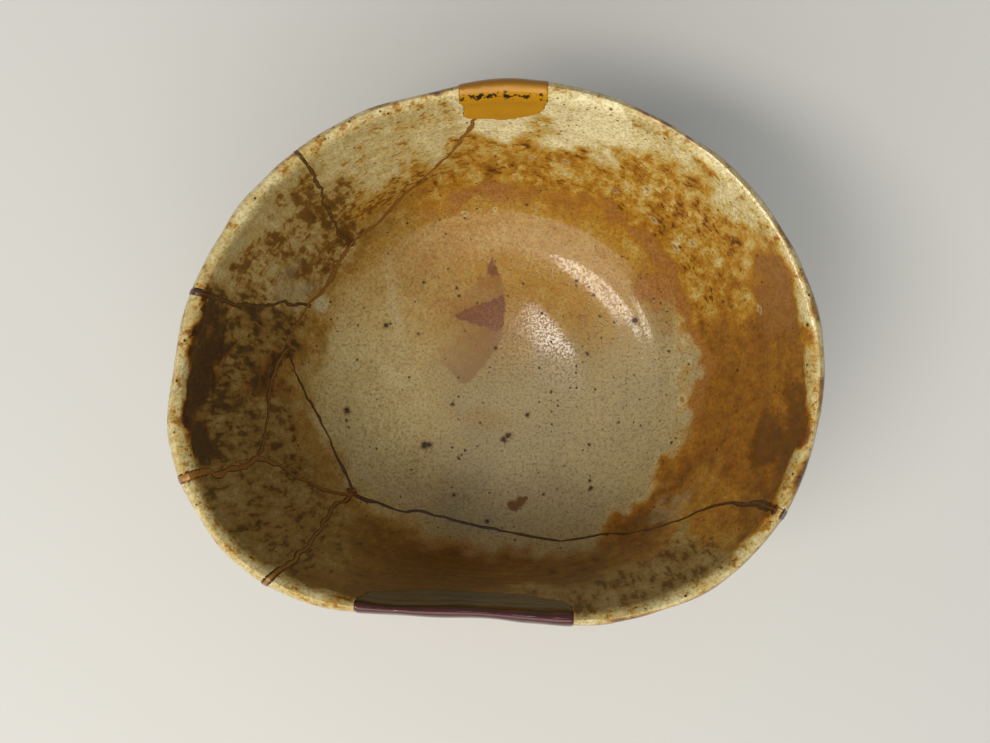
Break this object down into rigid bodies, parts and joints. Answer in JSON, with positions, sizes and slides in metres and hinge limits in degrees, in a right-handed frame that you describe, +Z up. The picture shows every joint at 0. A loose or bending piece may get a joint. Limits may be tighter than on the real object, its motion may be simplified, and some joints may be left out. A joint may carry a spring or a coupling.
{
  "type": "kintsugi bowl",
  "caption": "Stoneware tea bowl pressed out of round, broken and mended with lacquer seams and with gold and dark lacquer fills in its lip; open above, stands on a turned foot ring.",
  "frame": {"origin": "on the table under the middle of the bounding box", "axes": "+Z up out of the bowl's mouth, +X along the long way of the mouth, the dark fill in the lip faces -Y and the gold fill +Y"},
  "size_m": [0.136, 0.1134, 0.0739],
  "materials": {
    "ash_glaze": "crackled ash glaze in grey green, ochre and rust brown over buff stoneware, glossy on the floor and satin on the wall",
    "seam_lacquer": "raised bead of brown lacquer with worn gold powder, satin",
    "gold_lacquer": "built-up lacquer dusted with gold powder and burnished",
    "dark_lacquer": "built-up red-brown lacquer, polished to a high gloss"
  },
  "bodies": {
    "root": {"bowl_body_with_foot": "ash_glaze", "sherd_back_left": "ash_glaze", "sherd_left_upper": "ash_glaze", "sherd_left_middle": "ash_glaze", "sherd_left_hip": "ash_glaze", "sherd_front_left": "ash_glaze", "sherd_front": "ash_glaze", "lacquer_seams": "seam_lacquer", "gold_lip_fill": "gold_lacquer", "dark_lacquer_lip_fill": "dark_lacquer"}
  },
  "joints": []
}
